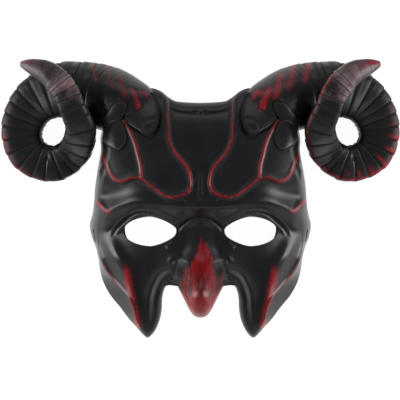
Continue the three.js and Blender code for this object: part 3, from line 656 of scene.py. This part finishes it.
# Broad strokes of red across the root: a line on the plan, its width and how thick the paint is. They are
# wider and thicker on the wearer's left horn
root_strokes = [
    (line_through([[79, 124], [77.5, 116], [75.4, 109]], 8), 3.6, 0.82),
    (line_through([[67.6, 121], [66.2, 112], [64, 104]], 8), 3.6, 0.82),
    (line_through([[58.5, 112], [56.2, 104], [54, 97]], 8), 3.6, 0.85),
    (line_through([[49.8, 102], [46.4, 96], [44, 88.6]], 8), 3.2, 0.95),
    (line_through([[43.6, 100.2], [40, 99], [38.4, 96]], 8), 2.4, 0.9),
]


def horn_paint(points, values, turn, side):
    """Paint of a horn. Red is rubbed on the keel and in broad strokes over the root, and in dry strokes on
    the ends of the rings near the keel and on the tip, where pale dust lies too. The strokes run round the
    horn. Painted shade, which darkens the lacquer and takes its gloss off, lies in the grooves, at the ends
    of the rings and in the ribs of the root; the keel and the side that faces the coil's hole are dulled and
    a little darkened by the same mask."""
    ring, width = values[:, 4], values[:, 3]
    off = off_angle(turn, KEEL_ANGLE)
    keel = read_profile(keel_red[side], ring) * hill(off, 0.17)
    ends = read_profile(ring_red[side], ring) * ramp(0.35, 0.8, ring_rise(ring)) * hill(off - 0.15, 0.55)
    dry = np.maximum(ends, read_profile(tip_red[side], ring) * hill(off_angle(turn, 1.35), 0.8))
    for line, reach, amount in root_strokes:
        distance = along_line(line, points[:, 0], points[:, 1])[0]
        stroke = hill(distance, reach * (1.15 + 0.15 * side)) * (ring < 3.0)
        keel = np.maximum(keel, (amount + 0.07 * side) * stroke)
    pale = read_profile(tip_pale[side], ring) * ramp(-0.3, 0.5, np.sin(turn))
    pale = pale * (1.0 - 0.7 * ring_groove(ring))
    brush = np.stack([ring * 3.0, turn * width / 14.0, 0.0 * ring], axis=-1)

    # A mask of painted shade and dullness: painted shade in the grooves, at the ring ends, in the tip band's
    # groove and in the ribs of the root, and dullness that is a little darker on the keel and on the side that
    # faces the coil's hole
    share = ring - np.floor(ring)
    cut = np.maximum(ramp(0.05, 0.5, ring_groove(ring)), ramp(0.8, 0.88, share))
    cut = cut * ramp(0.0, 0.6, values[:, 5])
    inward = ramp(0.0, 0.7, -np.cos(turn)) * ramp(0.0, 2.0, ring) * (0.35 + 0.2 * hill(ring - 3.0, 2.2))
    dull_and_shaded = inward + 0.45 * hill(off, 0.3) * ramp(3.0, 6.0, ring)
    dirt = np.max([cut, dull_and_shaded, hill(ring - TIP_BAND_GROOVE, 0.2), 0.8 * root_ribs(ring)], axis=0)
    return {"pale": pale, "red": keel, "streak": dry, "brush": brush, "dirt": dirt}


rings = (np.arange(-6, 29)[:, None] + RING_STEPS).ravel()
rings = rings[(rings > horn_rows[0][4] + 0.01) & (rings < horn_rows[-1][4] - 0.03)]
points, faces, values, turn = tube(horn_rows, rings, HORN_SIDES, horn_radius)
horns = [new_mesh("horn", points * [side, 1.0, 1.0], faces, **horn_paint(points, values, turn, side))
         for side in (1, -1)]


def pad(middle, foot, reaches, height, sides=96, steps=14):
    """A flat-topped solid whose plan reaches from its middle as far as the rows of [degrees, reach] say. Its
    top follows a height given for x, y and the share of the reach, and ends in a sharp edge; its sides go
    straight down to the height foot, in the hollow, where they are trimmed. Returns points, faces and the
    share of the reach."""
    degrees = 360.0 * np.arange(sides) / sides
    reach = read_profile(reaches, np.where(degrees > reaches[-1][0], degrees - 360.0, degrees))
    share = np.append(np.linspace(0.0, 1.0, steps + 1)[1:], 1.0)[:, None]
    x = middle[0] + share * reach * np.cos(np.radians(degrees))
    y = middle[1] + share * reach * np.sin(np.radians(degrees))
    z = height(x, y, share)
    z[-1] = foot
    ends = np.array([[*middle, height(*np.array([*middle, 0.0])[:, None])[0]], [*middle, foot]])
    points = np.vstack([np.stack([x, y, z], axis=-1).reshape(-1, 3), ends])
    grid = np.arange((steps + 1) * sides).reshape(steps + 1, sides)
    turned = np.roll(grid, -1, axis=1)
    quads = np.stack([grid[:-1], grid[1:], turned[1:], turned[:-1]], axis=-1).reshape(-1, 4)
    up, down = np.full(sides, len(points) - 2), np.full(sides, len(points) - 1)
    caps = np.vstack([np.stack([up, grid[0], turned[0], turned[0]], axis=-1),
                      np.stack([down, turned[-1], grid[-1], grid[-1]], axis=-1)])
    return points, np.vstack([quads, caps]), np.append(np.repeat(share, sides), [0.0, 1.0])


# The foot of each horn is a rounded pad with a lobe towards the eye and a tongue cut into it, and two leaves
# lie beside it. Each has its middle, its foot's height, rows of [degrees, reach] and its top's height
tongue = line_through([[43, 73.4], [41.4, 77], [38.6, 79.6], [34.6, 80.8], [29.6, 81]], 20)
TONGUE_WIDTH = 1.1
foot_pads = [
    ((44.5, 86.2), 40.0,
     [[-20, 12], [20, 13], [60, 13.5], [95, 14.3], [125, 16.8], [150, 15.8], [174, 14.5], [195, 15.3],
      [217, 16.9], [243, 18.8], [259, 15.3], [270, 12.4], [306, 10.6], [340, 12]],
     lambda x, y, share: (front_height(x, y) + 4.4 - 0.005 * np.maximum(0.0, x - 30.0) ** 2 - 0.3 * share**12
                          - 0.7 * hill(along_line(tongue, x, y)[0], TONGUE_WIDTH))),
    ((61.7, 81.2), 18.0,
     [[-33, 10.9], [9.6, 7.8], [53, 7.4], [88, 11], [105, 13], [126, 14.2], [147, 9.1], [173, 5.3],
      [210, 4.6], [245, 4.6], [278, 5.1], [295, 8.5], [309.5, 12.6], [327, 10.9]],
     lambda x, y, share: 60.0 - 0.016 * ((x - 53.0) ** 2 + (y - 93.0) ** 2) - 0.3 * share**8),
    ((61.8, 67.9), 28.0,
     [[10, 8.8], [52, 10.6], [92, 13.3], [116, 11.9], [142, 9.6], [170, 8.7], [218, 9.4], [250, 10.7],
      [285, 8.6], [325, 8.6], [370, 8.8]],
     lambda x, y, share: front_height(x, y) + 1.5 - 0.05 * np.maximum(0.0, x - 61.0) ** 2 - 0.4 * share**6),
]
# The pads are painted as the horn's root is at ring 0
root_values = [0.0, 0.0, 0.0, 40.0, 0.0, 0.0]
pads = []
for middle, foot, reaches, height in foot_pads:
    points, faces, share = pad(middle, foot, reaches, height)
    values, turn = np.tile(root_values, (len(points), 1)), np.zeros(len(points))
    in_tongue = hill(along_line(tongue, points[:, 0], points[:, 1])[0], TONGUE_WIDTH)
    # Painted shade on the pad's steep edge and in the tongue's cut, which also dulls them
    dirt = np.maximum(ramp(0.8, 0.92, share), in_tongue)
    for side in (1, -1):
        paint = horn_paint(points, values, turn, side) | {"dirt": dirt}
        pads.append(new_mesh("pad", points * [side, 1.0, 1.0], faces, **paint))


def cutter_box(size, middle, turn=0.0):
    """A box of a size round a middle, both in millimetres of the face frame, turned about Y."""
    edit = bmesh.new()
    bmesh.ops.create_cube(edit, size=1.0)
    place = (Matrix.Translation((Vector(middle) + Vector((0.0, FACE_TO_ORIGIN, 0.0))) / 1000.0)
             @ Matrix.Rotation(turn, 4, "Y") @ Matrix.Diagonal((*(Vector(size) / 1000.0), 1.0)))
    bmesh.ops.transform(edit, matrix=place, verts=edit.verts)
    mesh = bpy.data.meshes.new("cutter")
    edit.to_mesh(mesh)
    edit.free()
    cutter = bpy.data.objects.new("cutter", mesh)
    bpy.context.scene.collection.objects.link(cutter)
    return cutter


def cut_or_join(piece, how, other):
    """Adds a Boolean modifier that joins another closed mesh to the piece or cuts it away."""
    step = piece.modifiers.new(how.lower(), "BOOLEAN")
    step.operation, step.object, step.solver = how, other, "MANIFOLD"


# The horns and pads are trimmed by the hollow and joined to the face, then the strap slots are cut through
# the temples and the underside is cut level with the table
STRAP_SLOT = (3, 9, 16)
STRAP_SLOT_TURN = 0.62
TABLE_CUT = (600, 600, 100)
for grown in horns + pads:
    cut_or_join(grown, "DIFFERENCE", hollow)
    cut_or_join(mask, "UNION", grown)
cutters = [cutter_box(STRAP_SLOT, (side * 75.6, -3.6, 21), side * STRAP_SLOT_TURN) for side in (1, -1)]
cutters.append(cutter_box(TABLE_CUT, (0, 0, -TABLE_CUT[2] / 2)))
for cutter in cutters:
    cut_or_join(mask, "DIFFERENCE", cutter)
depsgraph = bpy.context.evaluated_depsgraph_get()
joined = bpy.data.meshes.new_from_object(mask.evaluated_get(depsgraph))
mask.modifiers.clear()
mask.data = joined
for helper in [hollow, *horns, *pads, *cutters]:
    bpy.data.objects.remove(helper)
joined.shade_smooth()
joined.set_sharp_from_angle(angle=np.radians(55.0))


class Wire:
    """A shader socket that arithmetic works on: each operation adds a Math node to its node tree."""

    def __init__(self, socket):
        self.socket = socket
        self.tree = socket.id_data

    def _math(self, operation, *values):
        return node(self.tree, "ShaderNodeMath", {"operation": operation}, dict(enumerate(values)))[0]

    def __add__(self, other):
        return self._math("ADD", self, other)

    def __sub__(self, other):
        return self._math("SUBTRACT", self, other)

    def __rsub__(self, other):
        return self._math("SUBTRACT", other, self)

    def __mul__(self, other):
        return self._math("MULTIPLY", self, other)

    __radd__ = __add__
    __rmul__ = __mul__

    def larger(self, other):
        """The larger of two values."""
        return self._math("MAXIMUM", self, other)

    def step(self, low, high):
        """0 below low, 1 above high, and a smooth step between."""
        return node(self.tree, "ShaderNodeMapRange", {"interpolation_type": "SMOOTHSTEP"},
                    {"Value": self, "From Min": low, "From Max": high})[0]


class Outputs:
    """The outputs of a node as wires, by name or number."""

    def __init__(self, made):
        self.made = made

    def __getitem__(self, key):
        return Wire(self.made.outputs[key])


def node(tree, kind, settings=None, sockets=None):
    """Adds a node: its settings first, then the values or links of its input sockets, by name or number."""
    made = tree.nodes.new(kind)
    for key, value in (settings or {}).items():
        if key == "stops":
            colours = made.color_ramp.elements
            for _ in range(len(value) - 2):
                colours.new(0.5)
            for element, (position, colour) in zip(colours, value):
                element.position, element.color = position, (*colour, 1.0)
        else:
            setattr(made, key, value)
    for key, value in (sockets or {}).items():
        if isinstance(value, Wire):
            tree.links.new(value.socket, made.inputs[key])
        else:
            made.inputs[key].default_value = value
    return Outputs(made)


# Finish: satin black lacquer over the whole casting, with red rubbed on the raised lines by an almost dry
# brush, and a pale dust on the tips of the horns. The lacquer is painted darker in the cut lines, grooves
# and crevices, as painted shade, and a little darker where it is dulled, and it is rougher in both.
# Rows of shades are [place from thin to thick, shade]
LACQUER = [(0.0, (0.0015, 0.0015, 0.0015)), (0.4, (0.005, 0.005, 0.0055)), (0.8, (0.009, 0.0088, 0.0095))]
REDS = [(0.0, (0.06, 0.003, 0.004)), (0.6, (0.12, 0.003, 0.005)), (1.0, (0.23, 0.006, 0.009))]
DUST = (0.30, 0.19, 0.2, 1.0)
LACQUER_ROUGHNESS = 0.3
LACQUER_IOR = 1.45
finish = bpy.data.materials.new("painted_cast")
finish.use_nodes = True
tree = finish.node_tree
tree.nodes.clear()


def noise(vector, scale, roughness):
    """Noise round 0.5 at a scale, with three finer layers on it."""
    values = {"Vector": vector, "Scale": scale, "Detail": 3.0, "Roughness": roughness}
    return node(tree, "ShaderNodeTexNoise", None, values)["Fac"]


place = node(tree, "ShaderNodeTexCoord")["Object"]
brush = node(tree, "ShaderNodeAttribute", {"attribute_name": "brush"})["Vector"]
red, streak, dirt, pale = (node(tree, "ShaderNodeAttribute", {"attribute_name": name})["Fac"]
                           for name in ("red", "streak", "dirt", "pale"))
grain, clouds, bristles = noise(place, 700.0, 0.6), noise(place, 60.0, 0.5), noise(brush, 0.9, 0.7)
even_red = (red + (grain - 0.5) * 0.5 + (bristles - 0.5) * 0.7).step(0.35, 1.0)
dry_red = (streak + (bristles - 0.5) * 2.2).step(0.3, 1.1)
cover = even_red.larger(dry_red)
pale_dust = ((clouds - 0.5) * 4.0 + grain + pale * 0.5).step(0.2, 1.9) * pale
# The painted shade mask darkens the lacquer here, and below it makes the lacquer rougher
black = node(tree, "ShaderNodeValToRGB", {"stops": LACQUER}, {"Fac": clouds - dirt * 0.5})["Color"]
reds = node(tree, "ShaderNodeValToRGB", {"stops": REDS}, {"Fac": cover * (0.6 + 0.8 * grain)})["Color"]
dusty = node(tree, "ShaderNodeMix", {"data_type": "RGBA"}, {"Factor": pale_dust, 6: black, 7: DUST})[2]
painted = node(tree, "ShaderNodeMix", {"data_type": "RGBA"}, {"Factor": cover, 6: dusty, 7: reds})[2]
roughness = LACQUER_ROUGHNESS + (clouds - 0.5) * 0.1 + (grain - 0.5) * 0.08 + cover * 0.05 + dirt * 0.6
uneven = grain * 0.6 + clouds * 0.8 + cover * 0.25
bump = node(tree, "ShaderNodeBump", None, {"Strength": 0.15, "Distance": 0.0004, "Height": uneven})["Normal"]
shader = node(tree, "ShaderNodeBsdfPrincipled", None,
              {"Base Color": painted, "Roughness": roughness, "Normal": bump, "IOR": LACQUER_IOR})["BSDF"]
node(tree, "ShaderNodeOutputMaterial", None, {"Surface": shader})
mask.data.materials.clear()
mask.data.materials.append(finish)
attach(mask, "root")
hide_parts("devil_half_mask")

# The floor
# A wide pale sheet under the mask, lit from within a little, as a photographer's light table is.
# It isn't part of the mask.
REACH = 3.0
BELOW = -0.0003
sheet = bpy.data.meshes.new("pale_floor")
corners = [(-REACH, -REACH, BELOW), (REACH, -REACH, BELOW), (REACH, REACH, BELOW), (-REACH, REACH, BELOW)]
sheet.from_pydata(corners, [], [(0, 1, 2, 3)])
pale_floor = bpy.data.objects.new("pale_floor", sheet)
bpy.context.scene.collection.objects.link(pale_floor)
pale_sheet = bpy.data.materials.new("pale_floor")
pale_sheet.use_nodes = True
surface = pale_sheet.node_tree.nodes["Principled BSDF"]
surface.inputs["Base Color"].default_value = (0.12, 0.12, 0.12, 1.0)
surface.inputs["Roughness"].default_value = 0.8
surface.inputs["Emission Color"].default_value = (1.0, 1.0, 1.0, 1.0)
surface.inputs["Emission Strength"].default_value = 0.97
sheet.materials.append(pale_sheet)

# Light and camera
# Two tall soft lamps stand left and right, almost level with the mask, a weak one shines over the crown and
# one from the chin, and the room is pale. The camera looks straight down through a long lens, as the
# photograph looks at the face.
lamps = [
    ("lamp_left", (-1.16, 0.0, 0.34), (0.66, 1.2), 18.0),
    ("lamp_right", (1.16, 0.0, 0.34), (0.66, 1.2), 18.0),
    ("lamp_crown", (0.0, 1.1, 0.5), (1.0, 0.35), 1.3),
    ("lamp_chin", (0.0, -1.1, 0.5), (1.0, 0.35), 0.9),
]
for name, where, (width, height), watts in lamps:
    lamp = bpy.data.lights.new(name, "AREA")
    lamp.shape, lamp.size, lamp.size_y, lamp.energy = "RECTANGLE", width, height, watts
    stand = bpy.data.objects.new(name, lamp)
    stand.location = where
    stand.rotation_euler = (-Vector(where)).to_track_quat("-Z", "Y").to_euler()
    bpy.context.scene.collection.objects.link(stand)
world = bpy.data.worlds.new("room")
world.use_nodes = True
world.node_tree.nodes["Background"].inputs["Color"].default_value = (0.9, 0.92, 1.0, 1.0)
world.node_tree.nodes["Background"].inputs["Strength"].default_value = 0.24
bpy.context.scene.world = world
bpy.context.scene.view_settings.view_transform = "Standard"
FOCAL_LENGTH_MM = 269.6
SENSOR_MM = 36.0
CAMERA_PLACE = (-0.0003, -0.0024, 2.215)
lens = bpy.data.cameras.new("camera")
lens.lens, lens.sensor_width = FOCAL_LENGTH_MM, SENSOR_MM
camera = bpy.data.objects.new("camera", lens)
camera.location = CAMERA_PLACE
bpy.context.scene.collection.objects.link(camera)
bpy.context.scene.camera = camera
